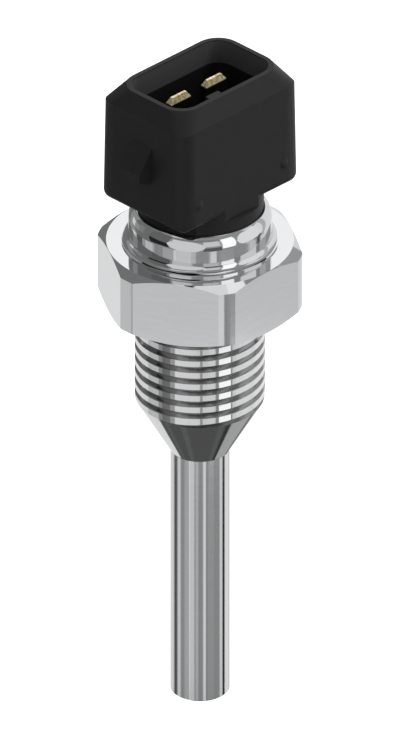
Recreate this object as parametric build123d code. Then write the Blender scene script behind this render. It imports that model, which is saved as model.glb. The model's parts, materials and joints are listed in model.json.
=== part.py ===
# Screw-in temperature sensor: a turned metal body with a hexagon, a thread and a closed stem,
# and a moulded two-way plug housing held in it by a rolled-in collar.
# Millimetres. Z runs up the probe's axis and X along the plug's long side.
# The origin is on the axis, in the sealing face under the hexagon.
from build123d import *
import math
import os

os.makedirs("parts", exist_ok=True)

# Body: hexagon
hex_across_flats = 19.0
hex_height = 7.1
hex_corner_diameter = 21.0
hex_chamfer_angle = 30.0

# Body: thread, cone and stem
insertion_length = 45.0
thread_diameter = 13.157
cone_half_angle = 30.0
stem_length = 27.9
stem_diameter = 6.0
tip_chamfer = 0.12

# Body: crimp collar
collar_diameter = 14.48
collar_foot_diameter = 15.88
collar_foot_height = 0.16
collar_foot_radius = 0.8
collar_wall_height = 1.69
crimp_radius = 1.9
crimp_angle = 45.0
lip_nose_radius = 0.26

# Body: bores
pocket_diameter = 13.5
pocket_floor_height = 5.2
body_bore_diameter = 8.0
body_bore_depth = 8.0
stem_bore_diameter = 4.0
stem_end_wall = 1.2
drill_point_angle = 118.0

# Plug housing: outside
box_length = 16.75
box_width = 12.03
box_height = 13.24
box_draft = 0.7
box_corner_radius = 1.1
box_bottom_radius = 1.0
box_chamfer_height = 1.84
rim_length = 14.54
rim_width = 9.36
rim_corner_radius = 2.5

# Plug housing: cavity
rim_wall = 0.52
lead_in_height = 2.4
lead_in_inset = 0.22
cavity_depth = 10.4
cavity_draft = 0.5
key_rib_width = 1.7
key_rib_depth = 0.35
key_rib_offset = -1.94

# Plug housing: latches and ejector marks
latch_width = 2.76
latch_height = 4.07
latch_reach = 1.69
latch_nose_height = 0.9
latch_underside_rise = 0.64
latch_base_height = 4.45
pip_diameter = 0.75
pip_rise = 0.14
pip_spacing = 12.14
pip_height = 2.85

# Plug housing: neck, flange and spigot
neck_diameter = 12.9
neck_height = 1.84
neck_flat_height = 0.6
neck_flat_inset = 0.01
flange_height = 3.5
flange_shoulder_height = 0.65
spigot_diameter = 10.8
spigot_length = 1.05
spigot_wall = 0.8
o_ring_height = 1.2
o_ring_corner_share = 0.375
web_thickness = 3.0
slide_clearance = 0.02

# Blade terminals
blade_pitch = 5.0
blade_row_offset = 0.58
blade_width = 2.8
blade_thickness = 0.8
blade_below_rim = 1.52
blade_bevel = 0.7
blade_side_bevel = 0.4
blade_side_bevel_height = 0.55
blade_nose = 0.28
anchor_width = 3.6
anchor_height = 1.0
tail_width = 1.4
barrel_diameter = 1.5
barrel_length = 2.5
barrel_below_flange = 0.5
barrel_wall_over_wire = 0.3

# Potting under the web
potting_depth = 2.0

# Leads from the blades to the element
conductor_diameter = 0.48
insulation_diameter = 1.1
lead_spacing = 1.42
lead_bend_radius = 6.0
lead_bend_drop = 6.5
lead_straight_top = 1.0
strip_length = 0.4
grommet_height = 2.6
grommet_clearance = 0.05

# Splices
splice_height = 9.8
splice_diameter = 0.9
splice_length = 4.0
shrink_wall = 0.14
shrink_overhang = 2.2
shrink_lip = 0.25

# Sensing element
element_height = 2.0
element_width = 1.9
element_thickness = 0.65
element_length = 3.9
leg_diameter = 0.25
leg_spacing = 0.9
leg_bend_radius = 1.5
leg_straight_share = 0.25
leg_standoff = 0.03
bead_length = 0.9
bead_rise = 0.42
bead_margin = 0.3
bead_front_radius = 0.3

# Insulating sleeve and heat-conducting filling in the tip
sleeve_diameter = 3.8
sleeve_wall = 0.3
sleeve_length = 17.0
filling_length = 7.2

# Depth by which one form runs into the next where the two are joined
joint_overlap = 0.5

# Levels worked out from the sizes above
tip_z = -insertion_length
cone_height = (thread_diameter - stem_diameter) / 2 / math.tan(math.radians(cone_half_angle))
cone_bottom_z = tip_z + stem_length
cone_top_z = cone_bottom_z + cone_height
foot_top_z = hex_height + collar_foot_height
collar_wall_top_z = foot_top_z + collar_foot_radius + collar_wall_height
bore_apex_z = tip_z + stem_end_wall
drill_slope = math.tan(math.radians(90 - drill_point_angle / 2))
stem_bore_full_z = bore_apex_z + stem_bore_diameter / 2 * drill_slope
body_bore_floor_z = -body_bore_depth
flange_z = pocket_floor_height + o_ring_height
shoulder_z = flange_z + flange_height
lip_turn_z = collar_wall_top_z + crimp_radius * math.sin(math.radians(crimp_angle))
lip_turn_radius = collar_diameter / 2 - crimp_radius * (1 - math.cos(math.radians(crimp_angle)))
lip_top_z = lip_turn_z + lip_nose_radius * (1 - math.cos(math.radians(90 - crimp_angle)))
lip_bore_radius = lip_turn_radius - lip_nose_radius * math.sin(math.radians(crimp_angle))
box_bottom_z = lip_top_z + neck_height
rim_z = box_bottom_z + box_height
chamfer_z = rim_z - box_chamfer_height
cavity_floor_z = rim_z - cavity_depth
web_bottom_z = cavity_floor_z - web_thickness
blade_top_z = rim_z - blade_below_rim
barrel_top_z = flange_z + barrel_length - barrel_below_flange
barrel_bottom_z = barrel_top_z - barrel_length
splice_z = tip_z + stem_end_wall + splice_height
splice_mid_z = splice_z + splice_length / 2
splice_top_z = splice_z + splice_length
insulation_bottom_z = splice_top_z + strip_length
insulation_top_z = barrel_bottom_z - strip_length
grommet_z = body_bore_floor_z
element_z = bore_apex_z + element_height
element_top_z = element_z + element_length
sleeve_z = bore_apex_z + sleeve_diameter / 2 * drill_slope
lead_bend_top_z = insulation_top_z - lead_straight_top
lead_bend_bottom_z = lead_bend_top_z - lead_bend_drop


def save(solid, name):
    """Writes one sub-part under its own name."""
    export_step(solid, "parts/" + name + ".step")


def turned(points):
    """Turns a closed outline of (radius, height) points about Z."""
    outline = make_face(Polyline(*[(r, 0, z) for r, z in points], close=True))
    return revolve(outline, Axis.Z)


def tube(outer, inner, bottom, top):
    """Plain tube between two heights, from its diameters."""
    ring = Circle(outer / 2) - Circle(inner / 2)
    return extrude(Pos(0, 0, bottom) * ring, top - bottom)


def rod(diameter, bottom, top):
    """Plain round bar between two heights."""
    return extrude(Pos(0, 0, bottom) * Circle(diameter / 2), top - bottom)


def hexagon():
    """Hexagon with its flats on Y, corners turned down and both ends chamfered."""
    prism = extrude(RegularPolygon(hex_across_flats / 2, 6, major_radius=False), hex_height)
    face_radius = hex_across_flats / 2
    corner_radius = hex_corner_diameter / 2
    drop = (corner_radius - face_radius) * math.tan(math.radians(hex_chamfer_angle))
    envelope = turned([
        (0, 0),
        (face_radius, 0),
        (corner_radius, drop),
        (corner_radius, hex_height - drop),
        (face_radius, hex_height),
        (0, hex_height),
    ])
    return prism & envelope


def shank():
    """Thread at its outside diameter, cone and stem down to the closed tip."""
    return turned([
        (0, tip_z),
        (stem_diameter / 2 - tip_chamfer, tip_z),
        (stem_diameter / 2, tip_z + tip_chamfer),
        (stem_diameter / 2, cone_bottom_z),
        (thread_diameter / 2, cone_top_z),
        (thread_diameter / 2, 0),
        (0, 0),
    ])


def collar():
    """Collar over the hexagon: flared foot, straight wall and lip rolled in over the plug."""
    wall_radius = collar_diameter / 2
    foot_radius = collar_foot_diameter / 2
    pocket_radius = pocket_diameter / 2
    root_radius = pocket_radius - joint_overlap
    root_z = hex_height - joint_overlap
    hollow_x = wall_radius + collar_foot_radius
    hollow_z = foot_top_z + collar_foot_radius
    foot_reach = hollow_x - foot_radius
    foot_z = hollow_z - math.sqrt(collar_foot_radius ** 2 - foot_reach ** 2)
    half = math.radians(crimp_angle / 2)
    crimp_mid = (
        wall_radius - crimp_radius * (1 - math.cos(half)),
        collar_wall_top_z + crimp_radius * math.sin(half),
    )
    nose_centre_z = lip_top_z - lip_nose_radius
    nose_half = math.radians(90 - crimp_angle / 2)
    nose_mid = (
        lip_bore_radius + lip_nose_radius * math.cos(nose_half),
        nose_centre_z + lip_nose_radius * math.sin(nose_half),
    )
    flare_angle = math.radians(225)
    flare_mid = (
        hollow_x + collar_foot_radius * math.cos(flare_angle),
        hollow_z + collar_foot_radius * math.sin(flare_angle),
    )

    def at(r, z):
        return (r, 0, z)

    outline = [
        Line(at(root_radius, root_z), at(foot_radius, root_z)),
        Line(at(foot_radius, root_z), at(foot_radius, foot_z)),
        ThreePointArc(at(foot_radius, foot_z), at(*flare_mid), at(wall_radius, hollow_z)),
        Line(at(wall_radius, hollow_z), at(wall_radius, collar_wall_top_z)),
        ThreePointArc(at(wall_radius, collar_wall_top_z), at(*crimp_mid), at(lip_turn_radius, lip_turn_z)),
        ThreePointArc(at(lip_turn_radius, lip_turn_z), at(*nose_mid), at(lip_bore_radius, lip_top_z)),
        Line(at(lip_bore_radius, lip_top_z), at(lip_bore_radius, shoulder_z + flange_shoulder_height)),
        Line(at(lip_bore_radius, shoulder_z + flange_shoulder_height), at(pocket_radius, shoulder_z)),
        Line(at(pocket_radius, shoulder_z), at(pocket_radius, hex_height)),
        Line(at(pocket_radius, hex_height), at(root_radius, root_z)),
    ]
    return revolve(make_face(outline), Axis.Z)


def sensor_body():
    """One turned piece: hexagon, collar, thread, cone and stem, bored from the plug end."""
    pocket_radius = pocket_diameter / 2
    bore_radius = body_bore_diameter / 2
    stem_bore_radius = stem_bore_diameter / 2
    drilled = turned([
        (0, bore_apex_z),
        (stem_bore_radius, stem_bore_full_z),
        (stem_bore_radius, body_bore_floor_z),
        (bore_radius, body_bore_floor_z),
        (bore_radius, pocket_floor_height),
        (pocket_radius, pocket_floor_height),
        (pocket_radius, shoulder_z),
        (0, shoulder_z),
    ])
    return hexagon() + shank() + collar() - drilled


def rounded_block(length, width, corner, bottom, top, draft):
    """Rounded rectangular block that narrows upwards by its draft angle."""
    inset = (top - bottom) * math.tan(math.radians(draft))
    lower = Pos(0, 0, bottom) * RectangleRounded(length, width, corner)
    upper = Pos(0, 0, top) * RectangleRounded(length - 2 * inset, width - 2 * inset, corner)
    return loft([lower, upper])


def housing_shell():
    """Outside of the box: drafted sides, rounded bottom and a chamfered top on all four sides."""
    inset = (chamfer_z - box_bottom_z) * math.tan(math.radians(box_draft))
    sides = rounded_block(box_length, box_width, box_corner_radius, box_bottom_z, chamfer_z, box_draft)
    bottom_edges = sides.edges().group_by(Axis.Z)[0]
    sides = fillet(bottom_edges, box_bottom_radius)
    waist = RectangleRounded(box_length - 2 * inset, box_width - 2 * inset, box_corner_radius)
    rim = RectangleRounded(rim_length, rim_width, rim_corner_radius)
    top = loft([Pos(0, 0, chamfer_z) * waist, Pos(0, 0, rim_z) * rim])
    return sides + top


def housing_cavity():
    """Space for the mating plug: a tapered lead-in, then straighter walls down to the web."""
    mouth_length = rim_length - 2 * rim_wall
    mouth_width = rim_width - 2 * rim_wall
    mouth_corner = rim_corner_radius - rim_wall
    throat_length = mouth_length - 2 * lead_in_inset
    throat_width = mouth_width - 2 * lead_in_inset
    throat_corner = mouth_corner - lead_in_inset
    throat_z = rim_z - lead_in_height
    inset = (throat_z - cavity_floor_z) * math.tan(math.radians(cavity_draft))
    mouth = Pos(0, 0, rim_z) * RectangleRounded(mouth_length, mouth_width, mouth_corner)
    throat = Pos(0, 0, throat_z) * RectangleRounded(throat_length, throat_width, throat_corner)
    floor = Pos(0, 0, cavity_floor_z) * RectangleRounded(
        throat_length - 2 * inset, throat_width - 2 * inset, throat_corner
    )
    rib = Pos(key_rib_offset, -mouth_width / 2, (rim_z + cavity_floor_z) / 2) * Box(
        key_rib_width, 2 * (key_rib_depth + lead_in_inset), cavity_depth
    )
    return loft([throat, mouth]) + loft([floor, throat]) - rib


def latch():
    """Ramp on the end face that a mating plug's clip snaps over."""
    face_x = box_length / 2
    draft_slope = math.tan(math.radians(box_draft))
    low = box_bottom_z + latch_base_height
    high = low + latch_height
    nose_x = face_x - draft_slope * (low - box_bottom_z) + latch_reach
    nose_z = low + latch_underside_rise
    side = make_face(Polyline(
        (face_x - joint_overlap, 0, high),
        (face_x - draft_slope * (high - box_bottom_z), 0, high),
        (nose_x, 0, nose_z + latch_nose_height),
        (nose_x, 0, nose_z),
        (face_x - draft_slope * (low - box_bottom_z), 0, low),
        (face_x - joint_overlap, 0, low),
        close=True,
    ))
    return extrude(side, latch_width / 2, both=True)


def plug_housing():
    """Moulded plug housing with its neck, flange and spigot in one piece."""
    body = housing_shell()
    for side in (0, 180):
        body += latch().rotate(Axis.Z, side)
    pip_z = box_bottom_z + pip_height
    pip_face = box_width / 2 - math.tan(math.radians(box_draft)) * pip_height
    for sign in (-1, 1):
        root = Pos(sign * pip_spacing / 2, joint_overlap - pip_face, pip_z)
        body += root * Rot(90, 0, 0) * extrude(Circle(pip_diameter / 2), joint_overlap + pip_rise)
    neck_bottom_z = shoulder_z + flange_shoulder_height
    flat_bottom_z = box_bottom_z - neck_flat_height
    upper_neck = rod(neck_diameter, flat_bottom_z, box_bottom_z + box_bottom_radius)
    flats = Box(2 * neck_diameter, box_width - 2 * neck_flat_inset, 4 * neck_height)
    body += upper_neck & Pos(0, 0, box_bottom_z) * flats
    flange_radius = pocket_diameter / 2 - slide_clearance
    spigot_z = flange_z - spigot_length
    body += turned([
        (0, spigot_z),
        (spigot_diameter / 2, spigot_z),
        (spigot_diameter / 2, flange_z),
        (flange_radius, flange_z),
        (flange_radius, shoulder_z - slide_clearance),
        (neck_diameter / 2, neck_bottom_z - slide_clearance),
        (neck_diameter / 2, flat_bottom_z),
        (0, flat_bottom_z),
    ])
    body -= housing_cavity()
    body -= rod(spigot_diameter - 2 * spigot_wall, spigot_z, web_bottom_z)
    for sign in (-1, 1):
        body -= blade_section(sign)
    return body


def blade_section(sign):
    """Blade and anchor as they pass through the web."""
    middle = Pos(sign * blade_pitch / 2, blade_row_offset, (web_bottom_z + cavity_floor_z) / 2)
    shaft = middle * Box(blade_width, blade_thickness, web_thickness)
    anchor = middle * Box(anchor_width, blade_thickness, anchor_height)
    return shaft + anchor


def blade_terminal(sign):
    """Flat blade with a bevelled tip, an anchor in the web and a crimp barrel on its tail."""
    half_width = blade_width / 2
    half_thickness = blade_thickness / 2
    edge_on = make_face(Polyline(
        (0, -half_thickness, web_bottom_z),
        (0, half_thickness, web_bottom_z),
        (0, half_thickness, blade_top_z - blade_bevel),
        (0, blade_nose / 2, blade_top_z),
        (0, -blade_nose / 2, blade_top_z),
        (0, -half_thickness, blade_top_z - blade_bevel),
        close=True,
    ))
    face_on = make_face(Polyline(
        (-half_width, 0, web_bottom_z),
        (half_width, 0, web_bottom_z),
        (half_width, 0, blade_top_z - blade_side_bevel_height),
        (half_width - blade_side_bevel, 0, blade_top_z),
        (-half_width + blade_side_bevel, 0, blade_top_z),
        (-half_width, 0, blade_top_z - blade_side_bevel_height),
        close=True,
    ))
    blade = extrude(edge_on, half_width, both=True) & extrude(face_on, half_thickness, both=True)
    tail_bottom_z = barrel_top_z - barrel_wall_over_wire
    tail_height = web_bottom_z - tail_bottom_z
    tail = Pos(0, 0, web_bottom_z - tail_height / 2) * Box(tail_width, blade_thickness, tail_height)
    barrel = rod(barrel_diameter, barrel_bottom_z, barrel_top_z)
    barrel -= rod(conductor_diameter, barrel_bottom_z, tail_bottom_z)
    place = Pos(sign * blade_pitch / 2, blade_row_offset, 0)
    return place * (blade + tail + barrel) + blade_section(sign)


def flange_o_ring():
    """Seal squeezed between the flange, the pocket floor, the spigot and the pocket wall."""
    width = (pocket_diameter - spigot_diameter) / 2
    height = flange_z - pocket_floor_height
    corner = o_ring_corner_share * min(width, height)
    middle = Pos((pocket_diameter + spigot_diameter) / 4, (flange_z + pocket_floor_height) / 2)
    section = Plane.XZ * middle * RectangleRounded(width, height, corner)
    return revolve(section, Axis.Z)


def terminal_potting():
    """Resin poured round the blade tails against the underside of the web."""
    resin = rod(spigot_diameter - 2 * spigot_wall, web_bottom_z - potting_depth, web_bottom_z)
    for sign in (-1, 1):
        tail = Box(tail_width, blade_thickness, 2 * potting_depth)
        resin -= Pos(sign * blade_pitch / 2, blade_row_offset, web_bottom_z - potting_depth) * tail
    return resin


def lead_path(sign, bottom, top):
    """Centre line of one lead: straight in the stem, then out to its own blade."""
    inner = sign * lead_spacing / 2
    outer = sign * blade_pitch / 2
    return FilletPolyline(
        (inner, 0, bottom),
        (inner, 0, lead_bend_bottom_z),
        (outer, blade_row_offset, lead_bend_top_z),
        (outer, blade_row_offset, top),
        radius=lead_bend_radius,
    )


def conductor(sign):
    """Bare wire from the splice up into the blade's crimp barrel."""
    path = lead_path(sign, splice_mid_z, barrel_top_z - barrel_wall_over_wire)
    start = Pos(sign * lead_spacing / 2, 0, splice_mid_z)
    return sweep(start * Circle(conductor_diameter / 2), path)


def insulation(sign):
    """Insulating jacket over the wire between its two stripped ends."""
    path = lead_path(sign, insulation_bottom_z, insulation_top_z)
    start = Pos(sign * lead_spacing / 2, 0, insulation_bottom_z)
    ring = Circle(insulation_diameter / 2) - Circle(conductor_diameter / 2)
    return sweep(start * ring, path)


def grommet():
    """Soft plug in the mouth of the stem bore that keeps the two leads apart."""
    plug = rod(body_bore_diameter - 2 * grommet_clearance, grommet_z, grommet_z + grommet_height)
    for sign in (-1, 1):
        hole = rod(insulation_diameter, grommet_z, grommet_z + grommet_height)
        plug -= Pos(sign * lead_spacing / 2, 0, 0) * hole
    return plug


def splice_sleeve(sign):
    """Crimped sleeve that joins the element's leg below to the wire above."""
    sleeve = rod(splice_diameter, splice_z, splice_top_z)
    sleeve -= rod(leg_diameter, splice_z, splice_mid_z)
    sleeve -= rod(conductor_diameter, splice_mid_z, splice_top_z)
    return Pos(sign * lead_spacing / 2, 0, 0) * sleeve


def shrink_sleeve(sign):
    """Shrunk-on sleeve over the splice and the end of the wire's jacket."""
    splice_radius = splice_diameter / 2
    jacket_radius = insulation_diameter / 2
    top = insulation_bottom_z + shrink_overhang
    sleeve = turned([
        (splice_radius, splice_z - shrink_lip),
        (splice_radius + shrink_wall, splice_z - shrink_lip),
        (splice_radius + shrink_wall, splice_top_z),
        (jacket_radius + shrink_wall, insulation_bottom_z),
        (jacket_radius + shrink_wall, top),
        (jacket_radius, top),
        (jacket_radius, insulation_bottom_z),
        (splice_radius, splice_top_z),
    ])
    return Pos(sign * lead_spacing / 2, 0, 0) * sleeve


def element_leg(sign):
    """Thin leg from the element's pad up into the splice."""
    inner = sign * leg_spacing / 2
    outer = sign * lead_spacing / 2
    rise = splice_z - element_top_z
    path = FilletPolyline(
        (inner, 0, element_top_z - bead_length),
        (inner, 0, element_top_z + leg_straight_share * rise),
        (outer, 0, splice_z - leg_straight_share * rise),
        (outer, 0, splice_mid_z),
        radius=leg_bend_radius,
    )
    start = Pos(inner, 0, element_top_z - bead_length)
    return sweep(start * Circle(leg_diameter / 2), path)


def sensing_element():
    """Flat ceramic chip just behind the two legs."""
    middle_y = -(element_thickness + leg_diameter) / 2 - leg_standoff
    middle_z = element_z + element_length / 2
    return Pos(0, middle_y, middle_z) * Box(element_width, element_thickness, element_length)


def leg_bead():
    """Drop of glass that fixes the two legs on the chip."""
    width = leg_spacing + leg_diameter + bead_margin
    depth = leg_diameter + bead_rise + leg_standoff
    middle_y = -leg_diameter / 2 - leg_standoff + depth / 2
    middle_z = element_top_z - bead_length / 2
    bead = Pos(0, middle_y, middle_z) * Box(width, depth, bead_length)
    front = bead.edges().filter_by(Axis.X).group_by(Axis.Y)[-1]
    bead = fillet(front, bead_front_radius)
    for sign in (-1, 1):
        bead -= Pos(sign * leg_spacing / 2, 0, 0) * rod(leg_diameter, element_z, element_top_z)
    return bead


def insulating_sleeve():
    """Thin-walled sleeve round the element and the splices, standing in the drilled end."""
    return tube(sleeve_diameter, sleeve_diameter - 2 * sleeve_wall, sleeve_z, sleeve_z + sleeve_length)


def tip_filling(*held):
    """Heat-conducting filling from the drilled end up round the element."""
    inner_radius = sleeve_diameter / 2 - sleeve_wall
    filling = turned([
        (0, bore_apex_z),
        (inner_radius, bore_apex_z + inner_radius * drill_slope),
        (inner_radius, bore_apex_z + filling_length),
        (0, bore_apex_z + filling_length),
    ])
    for piece in held:
        filling -= piece
    return filling


save(sensor_body(), "sensor_body")
save(plug_housing(), "plug_housing")
save(flange_o_ring(), "flange_o_ring")
save(terminal_potting(), "terminal_potting")
save(grommet(), "lead_grommet")

legs = []
for side, sign in (("left", -1), ("right", 1)):
    save(blade_terminal(sign), "blade_terminal_" + side)
    save(conductor(sign), "lead_conductor_" + side)
    save(insulation(sign), "lead_insulation_" + side)
    save(splice_sleeve(sign), "splice_sleeve_" + side)
    save(shrink_sleeve(sign), "splice_shrink_" + side)
    legs.append(element_leg(sign))
    save(legs[-1], "element_leg_" + side)

chip = sensing_element()
bead = leg_bead()
save(chip, "sensing_element")
save(bead, "leg_bead")
save(insulating_sleeve(), "insulating_sleeve")
save(tip_filling(chip, bead, *legs), "tip_filling")
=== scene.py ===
import json
import math
from itertools import product

import bmesh
import bpy
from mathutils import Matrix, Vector

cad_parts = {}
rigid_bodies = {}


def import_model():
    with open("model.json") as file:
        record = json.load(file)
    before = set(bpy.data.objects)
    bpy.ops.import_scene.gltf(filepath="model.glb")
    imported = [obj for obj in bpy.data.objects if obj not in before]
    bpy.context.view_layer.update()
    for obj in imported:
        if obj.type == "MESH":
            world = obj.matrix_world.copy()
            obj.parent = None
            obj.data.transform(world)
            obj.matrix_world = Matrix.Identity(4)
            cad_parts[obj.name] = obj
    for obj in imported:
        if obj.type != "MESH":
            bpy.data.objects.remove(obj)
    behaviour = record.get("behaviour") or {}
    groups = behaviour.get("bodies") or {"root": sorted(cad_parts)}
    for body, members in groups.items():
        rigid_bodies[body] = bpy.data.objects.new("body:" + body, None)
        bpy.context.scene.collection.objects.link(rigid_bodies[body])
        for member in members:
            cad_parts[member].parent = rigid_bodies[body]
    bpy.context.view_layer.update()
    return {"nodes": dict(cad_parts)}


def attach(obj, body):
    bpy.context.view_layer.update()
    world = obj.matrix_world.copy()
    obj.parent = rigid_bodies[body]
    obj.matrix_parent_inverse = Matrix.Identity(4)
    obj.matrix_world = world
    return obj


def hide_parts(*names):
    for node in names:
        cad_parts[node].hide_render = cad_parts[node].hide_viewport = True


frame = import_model()
mm = 0.001
tipZ = -45.0  # closed end of the stem, below the sealing face
cameraSide = 225.0  # degrees round the axis from +X to the side that faces the camera
print("frame loaded:", len(frame["nodes"]), "nodes")


# The camera looks from the photo's side, without perspective.
cameraView = {
    "azimuth": -45.0,
    "elevation": 30.0,
    "frameHeight": 75.44,  # mm seen over the height of the picture
    "aimZ": -8.66,
    "distance": 400.0,
    "clip": (0.01, 10.0),  # metres
}


def addCamera(view):
    azimuth = math.radians(view["azimuth"])
    elevation = math.radians(view["elevation"])
    back = Vector((
        math.sin(azimuth) * math.cos(elevation),
        -math.cos(azimuth) * math.cos(elevation),
        math.sin(elevation),
    ))
    data = bpy.data.cameras.new("camera")
    data.type = "ORTHO"
    data.ortho_scale = view["frameHeight"] * mm
    data.clip_start, data.clip_end = view["clip"]
    camera = bpy.data.objects.new("camera", data)
    bpy.context.scene.collection.objects.link(camera)
    camera.location = Vector((0, 0, view["aimZ"] * mm)) + back * view["distance"] * mm
    camera.rotation_mode = "QUATERNION"
    camera.rotation_quaternion = back.to_track_quat("Z", "Y")
    bpy.context.scene.camera = camera


addCamera(cameraView)
bpy.context.scene.view_settings.view_transform = "Standard"
print("camera set")


# Short ways to make materials, nodes and objects.
def newMaterial(name):
    material = bpy.data.materials.new(name)
    material.use_nodes = True
    material.node_tree.nodes.clear()
    return material, material.node_tree


def addNode(tree, kind, **values):
    node = tree.nodes.new(kind)
    for key, value in values.items():
        setattr(node, key, value)
    return node


def setInputs(node, **values):
    for key, value in values.items():
        node.inputs[key.replace("_", " ")].default_value = value
    return node


def meshObject(name, mesh):
    thing = bpy.data.objects.new(name, mesh)
    bpy.context.scene.collection.objects.link(thing)
    return thing


def applyModifiers(thing):
    scene = bpy.context.evaluated_depsgraph_get()
    made = bpy.data.meshes.new_from_object(thing.evaluated_get(scene))
    thing.modifiers.clear()
    thing.data = made
    return made


def polarPoint(radius, angle, height):
    # from a radius and a height in mm and an angle in radians
    return (radius * math.cos(angle) * mm, radius * math.sin(angle) * mm, height * mm)


# The studio: one soft key panel, a plain ambient light and a pale floor.
studio = {
    "ambient": 0.6,
    "keyPower": 12.6,
    "keySize": 0.5,
    "keyPlace": (0.58, -0.35, 1.1),
    "floorDrop": 0.30,  # metres from the tip down to the floor
    "floorHalf": 3.0,
    "floorTone": 0.85,
    "floorWhite": 0.6,  # added to the floor's own tone where it is the picture's background
}
white = (1, 1, 1, 1)


def backgroundMask(tree):
    # 1 where the ray is the camera's own, or comes off metal or through glass
    path = addNode(tree, "ShaderNodeLightPath")
    first = addNode(tree, "ShaderNodeMath", operation="MAXIMUM")
    second = addNode(tree, "ShaderNodeMath", operation="MAXIMUM")
    tree.links.new(path.outputs["Is Camera Ray"], first.inputs[0])
    tree.links.new(path.outputs["Is Glossy Ray"], first.inputs[1])
    tree.links.new(first.outputs[0], second.inputs[0])
    tree.links.new(path.outputs["Is Transmission Ray"], second.inputs[1])
    return second.outputs[0]


def addWorld(values):
    world = bpy.data.worlds.new("studioWorld")
    world.use_nodes = True
    tree = world.node_tree
    tree.nodes.clear()
    plain = addNode(tree, "ShaderNodeBackground")
    setInputs(plain, Color=white, Strength=values["ambient"])
    shown = addNode(tree, "ShaderNodeBackground")
    setInputs(shown, Color=white, Strength=1.0)
    mix = addNode(tree, "ShaderNodeMixShader")
    out = addNode(tree, "ShaderNodeOutputWorld")
    tree.links.new(backgroundMask(tree), mix.inputs[0])
    tree.links.new(plain.outputs[0], mix.inputs[1])
    tree.links.new(shown.outputs[0], mix.inputs[2])
    tree.links.new(mix.outputs[0], out.inputs["Surface"])
    world.cycles.sampling_method = "NONE"
    bpy.context.scene.world = world


def addFloor(values):
    half = values["floorHalf"]
    height = tipZ * mm - values["floorDrop"]
    mesh = bpy.data.meshes.new("floor")
    corners = [(-half, -half), (half, -half), (half, half), (-half, half)]
    mesh.from_pydata([(x, y, height) for x, y in corners], [], [(0, 1, 2, 3)])
    floor = meshObject("floor", mesh)
    material, tree = newMaterial("paleFloor")
    tone = values["floorTone"]
    diffuse = setInputs(addNode(tree, "ShaderNodeBsdfDiffuse"), Color=(tone, tone, tone, 1))
    glow = addNode(tree, "ShaderNodeEmission")
    setInputs(glow, Color=white, Strength=values["floorWhite"])
    add = addNode(tree, "ShaderNodeAddShader")
    mix = addNode(tree, "ShaderNodeMixShader")
    out = addNode(tree, "ShaderNodeOutputMaterial")
    tree.links.new(diffuse.outputs[0], add.inputs[0])
    tree.links.new(glow.outputs[0], add.inputs[1])
    tree.links.new(backgroundMask(tree), mix.inputs[0])
    tree.links.new(diffuse.outputs[0], mix.inputs[1])
    tree.links.new(add.outputs[0], mix.inputs[2])
    tree.links.new(mix.outputs[0], out.inputs["Surface"])
    mesh.materials.append(material)


def addKey(values):
    data = bpy.data.lights.new("keyPanel", "AREA")
    data.shape = "DISK"
    data.size = values["keySize"]
    data.energy = values["keyPower"]
    key = bpy.data.objects.new("keyPanel", data)
    bpy.context.scene.collection.objects.link(key)
    key.location = values["keyPlace"]
    key.rotation_mode = "QUATERNION"
    key.rotation_quaternion = Vector(values["keyPlace"]).to_track_quat("Z", "Y")
    key.visible_glossy = False


# Cards stand round the part, out of the picture, and are only there for the metal to reflect.
# Azimuths are in degrees from the camera's side, with right positive, and heights in mm above the
# tip. A ring of cards stands where upright faces mirror the camera's view, and each zone of the
# part sees its own stretch of the ring. A dome of cards stands above it, and a mat lies below.
cardRing = {
    "radius": 400.0,
    "top": -171.0,
    "tone": 0.28,
    "before": 0.5,  # how far a card stands before the ring or above the mat
    "fineness": 3,  # degrees of azimuth per facet
    "lowTop": -231.0,
    "lowBefore": 1.0,
    "matHeight": -290.0,
    "domeRadius": 640.0,
    "domeCentre": 56.0,
    "domeStep": 1.5,  # each card of the dome stands this far before the last
    "domeFineness": 4,
    "leafPower": 0.6,
}
mirrorSlope = math.tan(math.radians(cameraView["elevation"]))
# Zone limits: height on the part, and its radius there. With None, the second value is the height
# on the ring itself.
ringZones = {
    "groove": ((None, -290.0), (-3.0, 3.0)),
    "stem": ((-3.0, 3.0), (31.5, 4.5)),
    "thread": ((31.5, 4.5), (45.0, 8.0)),
    "upper": ((45.0, 8.0), (58.0, 7.2)),
}
# Brightness by azimuth range, on the stretch that the stem sees.
stemCards = [
    (-180, -160, 0.82),
    (-160, -124, 0.72),
    (-124, -117, 0.42),
    (-117, -101, 0.09),
    (-101, -95, 0.36),
    (-95, -82, 0.66),
    (-82.5, -77, 0.38),
    (-66, -59, 0.36),
    (-59, -43, 0.43),
    (-43, -38, 0.74),
    (-38, -21.5, 0.62),
    (-17.5, -6.5, 0.46),
    (10, 13.5, 0.46),
    (13.5, 22.5, 0.74),
    (30, 56, 0.32),
    (82, 96.5, 0.67),
    (99, 107.5, 0.02),
    (107.5, 112, 0.15),
    (112, 145, 0.80),
    (145, 157, 0.56),
    (157, 180, 0.76),
]
# The same for the hexagon's flats and corners and for the collar's wall.
collarCards = [
    (-180, -127, 0.80),
    (-127, -122, 0.42),
    (-122, -106, 0.10),
    (-106, -98, 0.36),
    (-98, -82, 0.60),
    (-82, -78, 0.42),
    (-62, -43, 0.42),
    (-43, -38, 0.74),
    (-38, -14, 0.60),
    (-14, -6.5, 0.46),
    (14, 17, 0.46),
    (17, 26.5, 0.76),
    (30, 56, 0.32),
    (83, 87, 0.45),
    (87, 101, 0.60),
    (101, 105, 0.28),
    (105, 111, 0.09),
    (111, 114, 0.30),
    (114, 149, 0.70),
    (149, 180, 0.80),
]
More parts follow.
